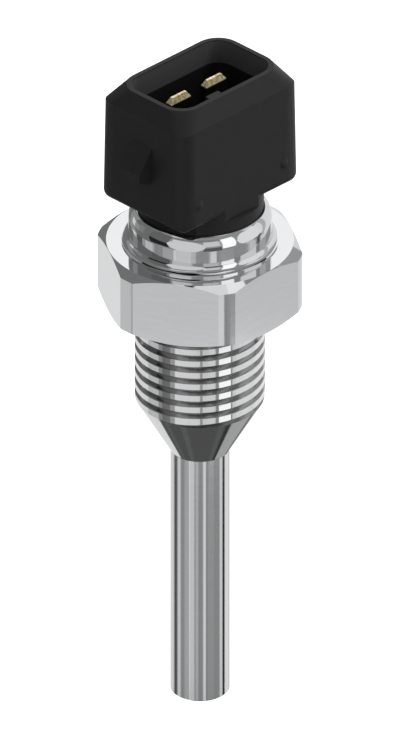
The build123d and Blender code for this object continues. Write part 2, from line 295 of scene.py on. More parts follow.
# The same for the crests of the thread, which are a little crowned.
crestCards = [
    (-180, -104, 0.80),
    (-104, -78, 0.55),
    (-70, -54, 0.15),
    (-54, -45, 0.34),
    (-45, 0, 0.78),
    (0, 4.5, 0.34),
    (4.5, 27.5, 0.72),
    (33.5, 56, 1.22),
    (59, 66, 0.74),
    (66, 110, 0.84),
    (110, 180, 0.88),
]
# The lowest stretch, which the sides of the cone see.
lowCards = [
    (-180, -146, 0.84),
    (162, 168, 0.34),
    (168, 180, 0.78),
]
# Cards lying on the mat: azimuth range, inner and outer radius in mm, brightness.
matTone = 0.085
matHole = 0.01
matCards = [
    (-180, -137.5, 195, 400, 0.78),
    (-131, -125, 130, 190, 0.115),
    (-110, -100, 30, 90, 0.115),
    (108, 116, 40, 115, 0.11),
    (118.5, 124.5, 120, 190, 0.03),
    (125, 155, 130, 400, 0.40),
    (155, 161, 280, 400, 0.14),
    (161, 168, 280, 400, 0.34),
    (168, 180, 280, 400, 0.78),
]
# Cards of the dome: azimuth range, elevation range, brightness. Later ones stand before earlier
# ones. The hexagon's chamfer, the collar's foot and roll, and the blades' tips mirror them.
highCards = [
    (-180, 180, -30, 90, 0.30),
    (-180, -157, -30, 26, 0.74),
    (-172, -140, -24, 15, 0.19),
    (-162, -137, 15, 34, 0.19),
    (-130, -120, -14, 2, 0.72),
    (-120, -84, -30, 60, 0.17),
    (-120, -108, -14, 6, 0.31),
    (-108, -97, -10, 18, 0.23),
    (-84, -49, -24, -1, 0.02),
    (-84, -49, -1, 42, 0.14),
    (-84, -70, -30, -24, 0.22),
    (-46, 5, 31, 43, 0.21),
    (-45, -20, 20, 31, 0.70),
    (-46, -6, 43, 54, 0.60),
    (5, 34, 31, 43, 0.24),
    (-56, -40, 42, 56, 0.62),
    (5, 35, -27, -7, 0.11),
    (5, 35, -7, 1, 0.33),
    (5, 30, 1, 30, 0.66),
    (30, 35, 1, 30, 0.45),
    (34.5, 56.5, -18, 36, 1.22),
    (78, 102, -22, 33, 0.84),
    (102, 112, -22, 27, 0.80),
    (78, 94, -30, -22, 0.55),
    (103, 111, -30, -20, 0.09),
    (112, 122, -26, 22, 0.48),
    (122, 180, -30, 21, 0.80),
    (112, 131, 21, 42, 0.50),
    (131, 156, 21, 42, 0.36),
    (156, 180, 21, 36, 0.80),
    (86, 122, 34, 50, 0.72),
    (160, 180, 20, 44, 1.05),
    (-180, -166, 20, 44, 1.05),
    (56.5, 114, 54, 66, 0.27),
    (60, 112, 66, 85, 0.95),
    (114, 180, 48, 78, 0.26),
    (5, 56.5, 56, 76, 0.18),
    (-148, -80, 34, 72, 0.19),
    (-180, 180, 76, 90, 0.8),
]
# Leaf-shaped cards: the same values, with the height closing to a point at both ends.
leafCards = [
    (-52, 9, -34, 31, 0.70),
    (58, 98, -23, 34, 0.84),
]


def cardPoint(azimuth, radius, height):
    return polarPoint(radius, math.radians(cameraSide + azimuth), tipZ + height)


def ringHeight(azimuth, limit):
    # where an upright face at this height and radius sends the camera's view on the ring
    height, radius = limit
    if height is None:
        return radius
    reach = cardRing["radius"] - radius * math.cos(math.radians(azimuth / 2))
    return height - mirrorSlope * reach


def spread(low, high, step):
    count = max(1, math.ceil((high - low) / step))
    return [low + (high - low) * i / count for i in range(count + 1)]


def addCards(ring):
    points, faces, tones = [], [], []
    outer, mat, fine = ring["radius"], ring["matHeight"], ring["fineness"]

    def patch(rows, tone):
        start = len(points)
        for row in rows:
            points.extend(row)
        wide = len(rows[0])
        for i in range(len(rows) - 1):
            for j in range(wide - 1):
                a = start + i * wide + j
                faces.append((a, a + 1, a + 1 + wide, a + wide))
                tones.append(tone)

    def evenPatch(rims, azimuths, tone):
        patch([[cardPoint(a, radius, height) for a in azimuths] for radius, height in rims], tone)

    def ringPatch(zone, low, high, tone):
        azimuths = spread(low, high, fine)
        near = outer - ring["before"]
        rows = []
        for limit in ringZones[zone]:
            rows.append([cardPoint(a, near, ringHeight(a, limit)) for a in azimuths])
        patch(rows, tone)

    allRound = spread(-180, 180, fine)
    evenPatch([(outer, mat), (outer, ring["top"])], allRound, ring["tone"])
    ringPatch("groove", -180, 180, matTone)
    for low, high, tone in stemCards:
        ringPatch("stem", low, high, tone)
    for low, high, tone in collarCards:
        ringPatch("upper", low, high, tone)
    for low, high, tone in crestCards:
        ringPatch("thread", low, high, tone)
    near = outer - ring["lowBefore"]
    for low, high, tone in lowCards:
        evenPatch([(near, mat), (near, ring["lowTop"])], spread(low, high, fine), tone)
    evenPatch([(matHole, mat), (outer, mat)], allRound, matTone)
    above = mat + ring["before"]
    for low, high, start, end, tone in matCards:
        evenPatch([(start, above), (end, above)], spread(low, high, fine), tone)
    for k, (low, high, bottom, top, tone) in enumerate(highCards + leafCards):
        far = ring["domeRadius"] - ring["domeStep"] * k
        leaf = k >= len(highCards)
        middle = (bottom + top) / 2
        rows = []
        for elevation in spread(bottom, top, ring["domeFineness"]):
            row = []
            for azimuth in spread(low, high, ring["domeFineness"]):
                across = 2 * (azimuth - low) / (high - low) - 1
                close = (1 - across * across) ** ring["leafPower"] if leaf else 1.0
                rise = math.radians(middle + (elevation - middle) * close)
                height = ring["domeCentre"] + far * math.sin(rise)
                row.append(cardPoint(azimuth, far * math.cos(rise), height))
            rows.append(row)
        patch(rows, tone)
    mesh = bpy.data.meshes.new("reflectionCards")
    mesh.from_pydata(points, [], faces)
    layer = mesh.attributes.new("cardTone", "FLOAT", "FACE")
    layer.data.foreach_set("value", tones)
    cards = meshObject("reflectionCards", mesh)
    material, tree = newMaterial("cardSurface")
    brightness = addNode(tree, "ShaderNodeAttribute", attribute_name="cardTone")
    glow = setInputs(addNode(tree, "ShaderNodeEmission"), Color=white)
    out = addNode(tree, "ShaderNodeOutputMaterial")
    tree.links.new(brightness.outputs["Fac"], glow.inputs["Strength"])
    tree.links.new(glow.outputs[0], out.inputs["Surface"])
    material.cycles.emission_sampling = "NONE"
    mesh.materials.append(material)
    cards.visible_camera = False
    cards.visible_diffuse = False
    cards.visible_shadow = False
    cards.visible_transmission = False
    cards.visible_volume_scatter = False


addWorld(studio)
addFloor(studio)
addKey(studio)
addCards(cardRing)
print("studio set")


# Effects that several finishes share.
def groupSocket(group, name, direction, kind, value=None):
    socket = group.interface.new_socket(name=name, in_out=direction, socket_type=kind)
    if value is not None:
        socket.default_value = value


def makeGrain():
    # soft cloudy grain in object space, stretched by the three scales
    group = bpy.data.node_groups.new("surfaceGrain", "ShaderNodeTree")
    groupSocket(group, "Scale", "INPUT", "NodeSocketVector", (1000, 1000, 1000))
    groupSocket(group, "Contrast", "INPUT", "NodeSocketFloat", 1.0)
    groupSocket(group, "Mask", "OUTPUT", "NodeSocketFloat")
    given = group.nodes.new("NodeGroupInput")
    result = group.nodes.new("NodeGroupOutput")
    place = group.nodes.new("ShaderNodeTexCoord")
    scaled = addNode(group, "ShaderNodeVectorMath", operation="MULTIPLY")
    noise = setInputs(addNode(group, "ShaderNodeTexNoise"), Scale=1.0, Detail=4.0, Roughness=0.55)
    centred = addNode(group, "ShaderNodeMath", operation="SUBTRACT")
    centred.inputs[1].default_value = 0.5
    stretched = addNode(group, "ShaderNodeMath", operation="MULTIPLY")
    lifted = addNode(group, "ShaderNodeMath", operation="ADD", use_clamp=True)
    lifted.inputs[1].default_value = 0.5
    group.links.new(place.outputs["Object"], scaled.inputs[0])
    group.links.new(given.outputs["Scale"], scaled.inputs[1])
    group.links.new(scaled.outputs[0], noise.inputs["Vector"])
    group.links.new(noise.outputs["Fac"], centred.inputs[0])
    group.links.new(centred.outputs[0], stretched.inputs[0])
    group.links.new(given.outputs["Contrast"], stretched.inputs[1])
    group.links.new(stretched.outputs[0], lifted.inputs[0])
    group.links.new(lifted.outputs[0], result.inputs["Mask"])
    return group


grainGroup = makeGrain()


def addGrain(tree, scale, contrast):
    node = addNode(tree, "ShaderNodeGroup", node_tree=grainGroup)
    node.inputs["Scale"].default_value = scale
    node.inputs["Contrast"].default_value = contrast
    return node.outputs["Mask"]


def spanMap(tree, source, low, high):
    node = addNode(tree, "ShaderNodeMapRange")
    node.inputs["To Min"].default_value = low
    node.inputs["To Max"].default_value = high
    tree.links.new(source, node.inputs["Value"])
    return node.outputs["Result"]


def toneMix(tree, source, dark, light):
    node = addNode(tree, "ShaderNodeMix", data_type="RGBA")
    node.inputs[6].default_value = (*dark, 1)
    node.inputs[7].default_value = (*light, 1)
    tree.links.new(source, node.inputs[0])
    return node.outputs[2]


# Painted light and painted shade, with heights in mm above the sealing face: painted light on the
# shroud's lead-in, painted shade on the straight walls under it and on the neck's far side, and
# painted shade on the blades' shafts below their tips.
plugPaintedShading = {
    "rim": 26.2,
    "inward": -0.3,  # how far a face turns to the axis, times its distance from it
    "leadInBottom": 23.85,
    "cavityHalf": (6.85, 4.26),
    "shaftTop": 24.15,
    "neckTop": 12.97,
    "neckSide": (-4.3, -3.5),  # across the neck, from unshaded to painted shade
    "soft": 0.12,  # height over which the painted light and shade fade in
}


def makePaintedShading(shape):
    # masks for painted shade and painted light, taken from the object's own coordinates
    group = bpy.data.node_groups.new("plugPaintedShading", "ShaderNodeTree")
    groupSocket(group, "PaintedShade", "OUTPUT", "NodeSocketFloat")
    groupSocket(group, "PaintedLight", "OUTPUT", "NodeSocketFloat")
    groupSocket(group, "BladePaintedShade", "OUTPUT", "NodeSocketFloat")
    result = group.nodes.new("NodeGroupOutput")
    place = group.nodes.new("ShaderNodeTexCoord")
    axes = group.nodes.new("ShaderNodeSeparateXYZ")
    group.links.new(place.outputs["Object"], axes.inputs[0])

    def combine(operation, first, second):
        node = addNode(group, "ShaderNodeMath", operation=operation)
        for slot, value in zip(node.inputs, (first, second)):
            if isinstance(value, float):
                slot.default_value = value
            else:
                group.links.new(value, slot)
        return node.outputs[0]

    def ramp(axis, low, high, first):
        node = addNode(group, "ShaderNodeMapRange")
        node.inputs["From Min"].default_value = low * mm
        node.inputs["From Max"].default_value = high * mm
        node.inputs["To Min"].default_value = first
        node.inputs["To Max"].default_value = 1.0 - first
        group.links.new(axes.outputs[axis], node.inputs["Value"])
        return node.outputs["Result"]

    def under(level):
        return ramp("Z", level - shape["soft"], level, 1.0)

    # painted light: the lead-in walls that turn toward the axis are lightened
    flat = addNode(group, "ShaderNodeVectorMath", operation="MULTIPLY")
    flat.inputs[1].default_value = (1, 1, 0)
    turned = addNode(group, "ShaderNodeVectorMath", operation="DOT_PRODUCT")
    group.links.new(place.outputs["Object"], flat.inputs[0])
    group.links.new(flat.outputs["Vector"], turned.inputs[0])
    group.links.new(place.outputs["Normal"], turned.inputs[1])
    inward = combine("LESS_THAN", turned.outputs["Value"], shape["inward"] * mm)
    band = combine("SUBTRACT", under(shape["rim"]), under(shape["leadInBottom"]))
    group.links.new(combine("MULTIPLY", inward, band), result.inputs["PaintedLight"])
    # painted shade: the cavity's straight walls under the lead-in, and the neck's far side, are
    # darkened
    halfLength, halfWidth = shape["cavityHalf"]
    across = combine("LESS_THAN", combine("ABSOLUTE", axes.outputs["X"], 0.0), halfLength * mm)
    deep = combine("LESS_THAN", combine("ABSOLUTE", axes.outputs["Y"], 0.0), halfWidth * mm)
    within = combine("MULTIPLY", across, deep)
    cavity = combine("MULTIPLY", within, under(shape["leadInBottom"]))
    neck = combine("MULTIPLY", under(shape["neckTop"]), ramp("Y", *shape["neckSide"], 0.0))
    group.links.new(combine("MAXIMUM", cavity, neck), result.inputs["PaintedShade"])
    # painted shade: the blades darken below their tips
    group.links.new(under(shape["shaftTop"]), result.inputs["BladePaintedShade"])
    return group


paintedShadingGroup = makePaintedShading(plugPaintedShading)


def makeFinish(name, look):
    material, tree = newMaterial(name)
    shader = addNode(tree, "ShaderNodeBsdfPrincipled")
    out = addNode(tree, "ShaderNodeOutputMaterial")
    tree.links.new(shader.outputs[0], out.inputs["Surface"])
    shader.inputs["Metallic"].default_value = look["metallic"]
    for key, value in look.get("shader", {}).items():
        shader.inputs[key].default_value = value
    mask = addGrain(tree, look["grainScale"], look["grainContrast"])
    tree.links.new(toneMix(tree, mask, look["dark"], look["light"]), shader.inputs["Base Color"])
    tree.links.new(spanMap(tree, mask, *look["roughness"]), shader.inputs["Roughness"])
    # painted light and shade: each mask mixes a fixed lighter or darker tone into the base colour
    for place, tone in look.get("paintedTones", {}).items():
        shade = addNode(tree, "ShaderNodeGroup", node_tree=paintedShadingGroup).outputs[place]
        paintedMix = addNode(tree, "ShaderNodeMix", data_type="RGBA")
        paintedMix.inputs[7].default_value = (*tone, 1)
        tree.links.new(shade, paintedMix.inputs[0])
        tree.links.new(shader.inputs["Base Color"].links[0].from_socket, paintedMix.inputs[6])
        tree.links.new(paintedMix.outputs[2], shader.inputs["Base Color"])
    if look.get("bump"):
        strength, distance = look["bump"]
        bump = setInputs(addNode(tree, "ShaderNodeBump"), Strength=strength, Distance=distance)
        fine = addGrain(tree, look["bumpScale"], 1.0)
        tree.links.new(fine, bump.inputs["Height"])
        tree.links.new(bump.outputs[0], shader.inputs["Normal"])
    return material


# Each finish runs from its dark to its light tone, and from smooth to rough, with its own grain.
# Scales are per metre, and a bump's second value is its height in metres.
finishes = {
    "polishedMetal": {
        "metallic": 1.0, "dark": (0.775, 0.785, 0.80), "light": (0.82, 0.825, 0.83),
        "roughness": (0.045, 0.075), "grainScale": (300, 300, 2500), "grainContrast": 1.2,
    },
    # painted shade: the groove's flanks are a darker copy of the polished metal, with a rougher
    # cut finish
    "shadedThreadFlank": {
        "metallic": 1.0, "dark": (0.52, 0.52, 0.52), "light": (0.60, 0.60, 0.595),
        "roughness": (0.08, 0.14), "grainScale": (300, 300, 2500), "grainContrast": 1.3,
    },
    "plugPlastic": {
        "metallic": 0.0, "dark": (0.018, 0.018, 0.0185), "light": (0.022, 0.022, 0.0225),
        "roughness": (0.42, 0.5), "grainScale": (900, 900, 900), "grainContrast": 1.3,
        "bump": (0.15, 0.00002), "bumpScale": (9000, 9000, 9000),
        # painted shade in the cavity and on the neck, and painted light on the lead-in
        "paintedTones": {"PaintedShade": (0.009, 0.009, 0.0093), "PaintedLight": (0.056, 0.056, 0.057)},
        "shader": {"Specular IOR Level": 0.15},
    },
    "goldPlate": {
        "metallic": 0.5, "dark": (0.44, 0.32, 0.11), "light": (1.0, 0.90, 0.60),
        "roughness": (0.20, 0.34), "grainScale": (2700, 2700, 2700), "grainContrast": 3.0,
        # painted shade on the blades' shafts below their tips
        "paintedTones": {"BladePaintedShade": (0.012, 0.010, 0.006)},
    },
    "tinnedWire": {
        "metallic": 1.0, "dark": (0.60, 0.59, 0.57), "light": (0.72, 0.71, 0.68),
        "roughness": (0.25, 0.4), "grainScale": (3000, 3000, 1200), "grainContrast": 1.4,
    },
    "sealRubber": {
        "metallic": 0.0, "dark": (0.018, 0.018, 0.018), "light": (0.026, 0.026, 0.026),
        "roughness": (0.55, 0.7), "grainScale": (1500, 1500, 1500), "grainContrast": 1.3,
        "bump": (0.2, 0.00002), "bumpScale": (7000, 7000, 7000),
    },
    "pottingResin": {
        "metallic": 0.0, "dark": (0.035, 0.033, 0.03), "light": (0.055, 0.052, 0.048),
        "roughness": (0.12, 0.25), "grainScale": (700, 700, 700), "grainContrast": 1.5,
    },
    "whiteJacket": {
        "metallic": 0.0, "dark": (0.78, 0.78, 0.76), "light": (0.86, 0.86, 0.84),
        "roughness": (0.28, 0.38), "grainScale": (1200, 1200, 400), "grainContrast": 1.2,
    },
    "redJacket": {
        "metallic": 0.0, "dark": (0.52, 0.045, 0.035), "light": (0.62, 0.07, 0.055),
        "roughness": (0.28, 0.38), "grainScale": (1200, 1200, 400), "grainContrast": 1.2,
    },
    "shrinkTube": {
        "metallic": 0.0, "dark": (0.035, 0.035, 0.036), "light": (0.055, 0.055, 0.056),
        "roughness": (0.4, 0.55), "grainScale": (1600, 1600, 700), "grainContrast": 1.4,
        "bump": (0.2, 0.00002), "bumpScale": (5000, 5000, 2500),
    },
    "firedCeramic": {
        "metallic": 0.0, "dark": (0.82, 0.81, 0.77), "light": (0.9, 0.89, 0.86),
        "roughness": (0.5, 0.65), "grainScale": (4000, 4000, 4000), "grainContrast": 1.6,
        "bump": (0.2, 0.00001), "bumpScale": (14000, 14000, 14000),
    },
    "glassDrop": {
        "metallic": 0.0, "dark": (0.42, 0.45, 0.43), "light": (0.55, 0.58, 0.56),
        "roughness": (0.06, 0.14), "grainScale": (2500, 2500, 2500), "grainContrast": 1.3,
    },
    "amberFilm": {
        "metallic": 0.0, "dark": (0.62, 0.33, 0.06), "light": (0.74, 0.44, 0.1),
        "roughness": (0.3, 0.42), "grainScale": (900, 900, 500), "grainContrast": 1.5,
    },
    "setPaste": {
        "metallic": 0.0, "dark": (0.72, 0.72, 0.71), "light": (0.84, 0.84, 0.83),
        "roughness": (0.6, 0.8), "grainScale": (2600, 2600, 2600), "grainContrast": 1.8,
        "bump": (0.35, 0.00003), "bumpScale": (6000, 6000, 6000),
    },
}
materials = {name: makeFinish(name, look) for name, look in finishes.items()}
nodeFinish = {
    "sensor_body": "polishedMetal",
    "plug_housing": "plugPlastic",
    "flange_o_ring": "sealRubber",
    "terminal_potting": "pottingResin",
    "lead_grommet": "sealRubber",
    "blade_terminal_left": "goldPlate",
    "blade_terminal_right": "goldPlate",
    "lead_conductor_left": "tinnedWire",
    "lead_conductor_right": "tinnedWire",
    "lead_insulation_left": "whiteJacket",
    "lead_insulation_right": "redJacket",
    "splice_sleeve_left": "tinnedWire",
    "splice_sleeve_right": "tinnedWire",
    "splice_shrink_left": "shrinkTube",
    "splice_shrink_right": "shrinkTube",
    "element_leg_left": "tinnedWire",
    "element_leg_right": "tinnedWire",
    "sensing_element": "firedCeramic",
    "leg_bead": "glassDrop",
    "insulating_sleeve": "amberFilm",
    "tip_filling": "setPaste",
}
for node, finishName in nodeFinish.items():
    solid = frame["nodes"][node].data
    solid.materials.clear()
    solid.materials.append(materials[finishName])
print("finishes made:", len(materials))


# The turned body in one piece. Its heights are in mm above the sealing face under the hexagon.
turnedBody = {
    "columns": 288,
    "acrossFlats": 19.0,
    "cornerDiameter": 21.0,
    "chamferAngle": 30.0,
    "hexHeight": 7.1,
    "edgeBreak": 0.03,  # by which the chamfer starts inside the flats
    "threadDiameter": 13.157,
    "coneHeight": 6.198,
    "stemDiameter": 6.0,
    "stemLength": 27.9,
    "tipChamfer": 0.12,
    "collarRadius": 7.24,
    "footRadius": 7.94,
    "footHeight": 0.16,
    "footFillet": 0.8,
    "wallHeight": 1.69,
    "crimpRadius": 1.9,
    "crimpAngle": 45.0,
    "noseRadius": 0.26,
    "curveSteps": 14,
    "noseSteps": 8,
    "wallInset": 0.03,  # keeps the wall's shading straight up to its curves
    "shoulder": 9.9,
    "shoulderRise": 0.65,
    "pocketRadius": 6.75,
    "pocketFloor": 5.2,
    "boreRadius": 4.0,
    "boreFloor": -8.0,
    "stemBoreRadius": 2.0,
    "stemBoreEnd": -42.598,
    "boreApex": -43.8,
    "creaseAngle": 15.0,
}
# The thread's helical groove, right-handed. Its heights are above the tip.
threadGroove = {
    "pitch": 1.337,
    "depth": 0.60,
    "flankAngle": 27.5,
    "rootHalf": 0.01,
    "phaseHeight": 35.2885,  # the groove's middle where it passes the camera's side
    "startHeight": 33.62,
    "endHeight": 44.3,
    "fadeLow": 0.45,
    "fadeHigh": 0.55,
    "edgeRadius": 0.09,
    "edgeSteps": 5,
    "stepAngle": 2.5,
    "toolOut": 0.25,  # how far the cutter stands out of the thread
    "toolClear": 0.02,  # its height over the metal where it ends
    "toolOverlap": 0.003,  # of its edge curves with the crest
    "crestMargin": 0.004,  # what counts as crest below the outside radius
}


def arcRows(centre, radius, start, end, steps):
    rows = []
    for i in range(steps + 1):
        angle = math.radians(start + (end - start) * i / steps)
        rows.append((centre[0] + radius * math.cos(angle), centre[1] + radius * math.sin(angle)))
    return rows


def hexColumns(shape):
    # even columns, with the nearest ones moved onto the edges of the rounded corners
    flatHalf = math.degrees(math.acos(shape["acrossFlats"] / shape["cornerDiameter"]))
    step = 360.0 / shape["columns"]
    angles = [i * step for i in range(shape["columns"])]
    for flat in range(30, 390, 60):
        for edge in (flat - flatHalf, flat + flatHalf):
            nearest = round(edge / step)
            angles[nearest % shape["columns"]] = edge % 360.0
    return sorted(angles)


def hexRadius(shape, angle):
    fromFlat = math.radians((angle % 60.0) - 30.0)
    return min(shape["acrossFlats"] / 2 / math.cos(fromFlat), shape["cornerDiameter"] / 2)


def bodyRows(shape):
    # (radius, height) rows; "flat" and "corner" are worked out on the hexagon for each column
    half = shape["threadDiameter"] / 2
    stem = shape["stemDiameter"] / 2
    coneBottom = tipZ + shape["stemLength"]
    footTop = shape["hexHeight"] + shape["footHeight"]
    hollow = (shape["collarRadius"] + shape["footFillet"], footTop + shape["footFillet"])
    reach = math.degrees(math.acos((hollow[0] - shape["footRadius"]) / shape["footFillet"]))
    wallTop = hollow[1] + shape["wallHeight"]
    crimpCentre = (shape["collarRadius"] - shape["crimpRadius"], wallTop)
    crimp = arcRows(crimpCentre, shape["crimpRadius"], 0, shape["crimpAngle"], shape["curveSteps"])
    lean = math.radians(shape["crimpAngle"])
    turn = crimp[-1]
    nose = shape["noseRadius"]
    noseCentre = (turn[0] - nose * math.cos(lean), turn[1] - nose * math.sin(lean))
    noseRows = arcRows(noseCentre, nose, shape["crimpAngle"], 90, shape["noseSteps"])
    outside = [
        (0.0, tipZ),
        (stem - shape["tipChamfer"], tipZ),
        (stem, tipZ + shape["tipChamfer"]),
        (stem, coneBottom),
        (half, coneBottom + shape["coneHeight"]),
        (half, 0.0),
        ("flat", 0.0),
        ("corner", 0.0),
        ("corner", shape["hexHeight"]),
        ("flat", shape["hexHeight"]),
        (shape["footRadius"], shape["hexHeight"]),
    ]
    outside += arcRows(hollow, shape["footFillet"], 180 + reach, 180, shape["curveSteps"])
    inset = shape["wallInset"]
    outside += [(shape["collarRadius"], z) for z in (hollow[1] + inset, wallTop - inset)]
    outside += crimp + noseRows[1:]
    lipBore = noseRows[-1][0]
    inside = [
        (lipBore, shape["shoulder"] + shape["shoulderRise"]),
        (shape["pocketRadius"], shape["shoulder"]),
        (shape["pocketRadius"], shape["pocketFloor"]),
        (shape["boreRadius"], shape["pocketFloor"]),
        (shape["boreRadius"], shape["boreFloor"]),
        (shape["stemBoreRadius"], shape["boreFloor"]),
        (shape["stemBoreRadius"], shape["stemBoreEnd"]),
        (0.0, shape["boreApex"]),
    ]
    return outside + inside


def gridBody(shape):
    angles = hexColumns(shape)
    flat = shape["acrossFlats"] / 2
    slope = math.tan(math.radians(shape["chamferAngle"]))
    build = bmesh.new()
    grid = []
    for radius, height in bodyRows(shape):
        if radius == 0.0:
            grid.append([build.verts.new((0, 0, height * mm))])
            continue
        line = []
        for angle in angles:
            r, z = radius, height
            if radius == "flat":
                r = flat - shape["edgeBreak"]
            if radius == "corner":
                r = hexRadius(shape, angle)
                drop = (r - flat + shape["edgeBreak"]) * slope
                z = height + drop if height == 0.0 else height - drop
            line.append(build.verts.new(polarPoint(r, math.radians(angle), z)))
        grid.append(line)
    for low, high in zip(grid, grid[1:]):
        count = max(len(low), len(high))
        for j in range(count):
            k = (j + 1) % count
            if len(low) == 1:
                build.faces.new((low[0], high[k], high[j]))
            elif len(high) == 1:
                build.faces.new((low[j], low[k], high[0]))
            else:
                build.faces.new((low[j], low[k], high[k], high[j]))
    bmesh.ops.recalc_face_normals(build, faces=build.faces)
    mesh = bpy.data.meshes.new("turnedBody")
    build.to_mesh(mesh)
    build.free()
    return mesh


def smoothStep(value):
    value = min(1.0, max(0.0, value))
    return value * value * (3 - 2 * value)


def dress(mesh):
    # the second finish is the thread groove's painted shade
    for name in ("polishedMetal", "shadedThreadFlank"):
        mesh.materials.append(materials[name])


def grooveTool(shape, groove):
    # a helical cutter, right-handed, that rises out of the metal at both ends
    crest = shape["threadDiameter"] / 2
    flank = math.radians(groove["flankAngle"])
    edge = groove["edgeRadius"]
    clear = groove["toolClear"]
    outer = crest + groove["toolOut"]
    first = (groove["startHeight"] - groove["phaseHeight"]) / groove["pitch"] * 360.0
    last = (groove["endHeight"] - groove["phaseHeight"]) / groove["pitch"] * 360.0
    steps = round((last - first) / groove["stepAngle"])
    build = bmesh.new()
    sections = []
    for i in range(steps + 1):
        turn = first + (last - first) * i / steps
        middle = groove["phaseHeight"] + groove["pitch"] * turn / 360.0
        fade = smoothStep((middle - groove["startHeight"]) / groove["fadeLow"])
        fade *= smoothStep((groove["endHeight"] - middle) / groove["fadeHigh"])
        root = crest + clear - (groove["depth"] + clear) * fade
        flankEnd = crest - edge * (1 - math.sin(flank))
        endHalf = groove["rootHalf"] + max(0.0, flankEnd - root) * math.tan(flank)
        centre = (crest - edge + groove["toolOverlap"], endHalf + edge * math.cos(flank))
        side = [(root, groove["rootHalf"])]
        side += arcRows(centre, edge, groove["flankAngle"] - 90, 0, groove["edgeSteps"])
        side.append((outer, centre[1]))
        angle = math.radians(cameraSide + turn)
        outline = [(r, -w) for r, w in side] + [(r, w) for r, w in reversed(side)]
        section = []
        for r, dz in outline:
            section.append(build.verts.new(polarPoint(r, angle, tipZ + middle + dz)))
        sections.append(section)
    around = len(sections[0])
    for low, high in zip(sections, sections[1:]):
        for j in range(around):
            k = (j + 1) % around
            build.faces.new((low[j], low[k], high[k], high[j]))
    build.faces.new(sections[0])
    build.faces.new(list(reversed(sections[-1])))
    bmesh.ops.recalc_face_normals(build, faces=build.faces)
    mesh = bpy.data.meshes.new("grooveTool")
    build.to_mesh(mesh)
    build.free()
    dress(mesh)
    for face in mesh.polygons:
        face.material_index = 1
    return meshObject("grooveTool", mesh)


def cutAway(thing, tool):
    cut = thing.modifiers.new("groove", "BOOLEAN")
    cut.operation = "DIFFERENCE"
    cut.solver = "EXACT"
    cut.object = tool
    applyModifiers(thing)
    bpy.data.objects.remove(tool)


def crispShade(thing, angle):
    for face in thing.data.polygons:
        face.use_smooth = True
    thing.data.set_sharp_from_angle(angle=math.radians(angle))


def shadeThread(thing, shape, groove):
    # true normals on crests, rounded edges and flanks, in place of those of the cut mesh
    mesh = thing.data
    crest = shape["threadDiameter"] / 2
    crestFrom = crest - groove["crestMargin"]
    edge = groove["edgeRadius"]
    flankTilt = math.radians(90 - groove["flankAngle"])
    normals = [corner.vector.copy() for corner in mesh.corner_normals]

    def tiltAt(radius):
        if radius > crestFrom:
            return 0.0
        return min(flankTilt, math.acos(max(0.0, (radius - crest + edge) / edge)))

    for face in mesh.polygons:
        centre = face.center / mm
        radii = [mesh.vertices[v].co.xy.length / mm for v in face.vertices]
        onCrest = min(radii) > crestFrom and tipZ + groove["startHeight"] < centre.z < 0
        if face.material_index == 0 and not onCrest:
            continue
        turn = math.degrees(math.atan2(centre.y, centre.x)) - cameraSide
        above = (centre.z - tipZ - groove["phaseHeight"]) / groove["pitch"] - turn / 360.0
        side = 1.0 if above < round(above) else -1.0
        for loop, vertex in zip(face.loop_indices, face.vertices):
            place = mesh.vertices[vertex].co
            tilt = 0.0 if onCrest else tiltAt(place.xy.length / mm)
            out = Vector((place.x, place.y, 0.0)).normalized() * math.cos(tilt)
            out.z = side * math.sin(tilt)
            normals[loop] = out
    mesh.normals_split_custom_set(normals)


# The moulded plug housing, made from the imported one. Heights as on the turned body.
mouldedPlug = {
    "edgeRound": 0.14,
    "edgeSteps": 3,
    "sharpAngle": 18.0,
    "creaseAngle": 40.0,
    "lowest": 12.3,  # below this the collar hides it
    "deep": 20.0,  # below this the shroud hides its own inside
    "weld": 1e-7,  # metres
    "mergeAngle": 0.5,
    "markSpacing": 12.14,
    "markFace": -5.965,
    "markHeight": 15.86,
    "markRadius": 0.6,
    "markRise": 0.215,
    "markFullness": 0.75,  # 0.5 is a round dome, and more is flatter at the edge
    "markRings": 6,
    "markSpokes": 24,
    "boxBottom": 13.02,
    "waist": 24.41,
    "rimTop": 26.25,
    "wallCorner": (6.44, 4.08),  # x and y at which the soft upright corners begin, up to the waist
    "rimCorner": (4.77, 2.18),  # the same at the rim
    "cornerMargin": 0.002,
    "steepest": 0.95,  # faces whose normal rises more than this are level ones
    "chamferTilt": (27.7, 33.0),  # of the rim's chamfer, at the ends and along the sides
    "chamferTop": 26.17,
}


def addMarks(build, shape):
    # the two ejector marks, as low soft bumps over their discs
    rings, spokes = shape["markRings"], shape["markSpokes"]
    radius = shape["markRadius"]
    for side in (-1, 1):
        middle = side * shape["markSpacing"] / 2
        loops = []
        for i in range(1, rings + 1):
            share = i / rings
            rise = shape["markRise"] * (1 - share * share) ** shape["markFullness"]
            out = shape["markFace"] - rise
            loop = []
            for j in range(spokes):
                turn = math.tau * j / spokes
                x = middle + share * radius * math.cos(turn)
                z = shape["markHeight"] + share * radius * math.sin(turn)
                loop.append(build.verts.new((x * mm, out * mm, z * mm)))
            loops.append(loop)
        top = (middle, shape["markFace"] - shape["markRise"], shape["markHeight"])
        peak = build.verts.new([v * mm for v in top])
        for j in range(spokes):
            k = (j + 1) % spokes
            build.faces.new((peak, loops[0][j], loops[0][k]))
            for inner, outer in zip(loops, loops[1:]):
                build.faces.new((inner[j], outer[j], outer[k], inner[k]))
        build.faces.new(list(reversed(loops[-1])))


def facesOutward(normal, place):
    return normal.x * place.x + normal.y * place.y > 0


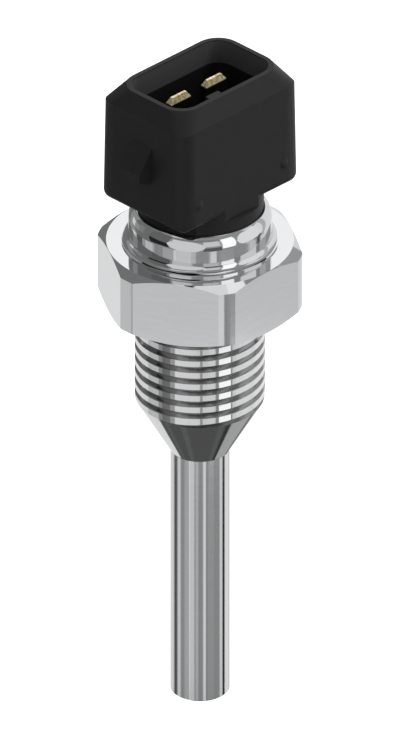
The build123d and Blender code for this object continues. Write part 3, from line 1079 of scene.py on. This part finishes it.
def outerFaces(build, shape, upper):
    # the box's outer faces, or those of the chamfer above its waist, with their edges and corners
    pieces = set()
    for face in build.faces:
        centre = face.calc_center_median()
        height = centre.z / mm
        upright = facesOutward(face.normal, centre) and abs(face.normal.z) < shape["steepest"]
        if upright and height > shape["boxBottom"] and (height > shape["waist"]) == upper:
            pieces.add(face)
            pieces.update(face.edges)
            pieces.update(face.verts)
    return list(pieces)


def cutCorners(build, shape):
    # lines in the outer faces where the soft corners begin
    build.normal_update()
    rise = shape["rimTop"] - shape["waist"]
    for axis, side, upper in product((0, 1), (-1, 1), (False, True)):
        start = shape["wallCorner"][axis]
        point = Vector((0, 0, shape["waist"] * mm))
        point[axis] = side * start * mm
        normal = Vector((0, 0, (start - shape["rimCorner"][axis]) / rise if upper else 0.0))
        normal[axis] = side
        bmesh.ops.bisect_plane(
            build, geom=outerFaces(build, shape, upper), dist=shape["weld"],
            plane_co=point, plane_no=normal,
        )


def softenCorners(thing, shape):
    # the upright corners shade as wide ones, round the same form
    even = thing.modifiers.new("evenNormals", "WEIGHTED_NORMAL")
    even.keep_sharp = True
    made = applyModifiers(thing)
    normals = [corner.vector.copy() for corner in made.corner_normals]
    rise = shape["rimTop"] - shape["waist"]
    changed = 0
    for loop in made.loops:
        place = made.vertices[loop.vertex_index].co / mm
        normal = normals[loop.index]
        share = min(1.0, max(0.0, (place.z - shape["waist"]) / rise))
        limits = zip(shape["wallCorner"], shape["rimCorner"])
        startX, startY = [low + (high - low) * share for low, high in limits]
        across, deep = abs(place.x) - startX, abs(place.y) - startY
        inCorner = place.z >= shape["boxBottom"] and min(across, deep) >= -shape["cornerMargin"]
        if not inCorner or not facesOutward(normal, place) or abs(normal.z) > shape["steepest"]:
            continue
        turn = math.atan2(max(0.0, deep), max(0.0, across))
        if place.z < shape["chamferTop"]:
            low, high = shape["chamferTilt"]
            tilt = low + (high - low) * turn / (math.pi / 2)
            normal.z = min(normal.z, math.sin(math.radians(tilt)))
        level = math.sqrt(1 - normal.z * normal.z)
        normal.x = math.copysign(math.cos(turn) * level, place.x)
        normal.y = math.copysign(math.sin(turn) * level, place.y)
        changed += 1
    made.normals_split_custom_set(normals)
    print("corner normals set:", changed)


def roundEdges(mesh, shape, cavity):
    # the same moulding with its visible edges rounded
    build = bmesh.new()
    build.from_mesh(mesh)
    bmesh.ops.remove_doubles(build, verts=build.verts, dist=shape["weld"])
    merge = math.radians(shape["mergeAngle"])
    bmesh.ops.dissolve_limit(build, angle_limit=merge, verts=build.verts, edges=build.edges)
    cutCorners(build, shape)
    sharp = []
    for edge in build.edges:
        middle = (edge.verts[0].co + edge.verts[1].co) / 2 / mm
        inCavity = abs(middle.x) < cavity[0] and abs(middle.y) < cavity[1]
        hidden = middle.z < shape["lowest"] or (inCavity and middle.z < shape["deep"])
        if not hidden and edge.calc_face_angle(0) > math.radians(shape["sharpAngle"]):
            sharp.append(edge)
    bmesh.ops.bevel(
        build, geom=sharp, offset=shape["edgeRound"] * mm, offset_type="OFFSET",
        segments=shape["edgeSteps"], profile=0.5, affect="EDGES", clamp_overlap=True,
    )
    addMarks(build, shape)
    rounded = bpy.data.meshes.new("mouldedPlug")
    build.to_mesh(rounded)
    build.free()
    rounded.materials.append(materials["plugPlastic"])
    print("rounded edges:", len(sharp))
    return rounded


packedPlug = frame["nodes"]["plug_housing"].data
plug = meshObject("mouldedPlug", roundEdges(packedPlug, mouldedPlug, plugPaintedShading["cavityHalf"]))
crispShade(plug, mouldedPlug["creaseAngle"])
softenCorners(plug, mouldedPlug)
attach(plug, "root")
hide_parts("plug_housing")
print("moulded plug:", len(plug.data.polygons), "faces")

body = meshObject("turnedBody", gridBody(turnedBody))
dress(body.data)
cutAway(body, grooveTool(turnedBody, threadGroove))
crispShade(body, turnedBody["creaseAngle"])
shadeThread(body, turnedBody, threadGroove)
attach(body, "root")
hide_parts("sensor_body")
print("turned body:", len(body.data.polygons), "faces")
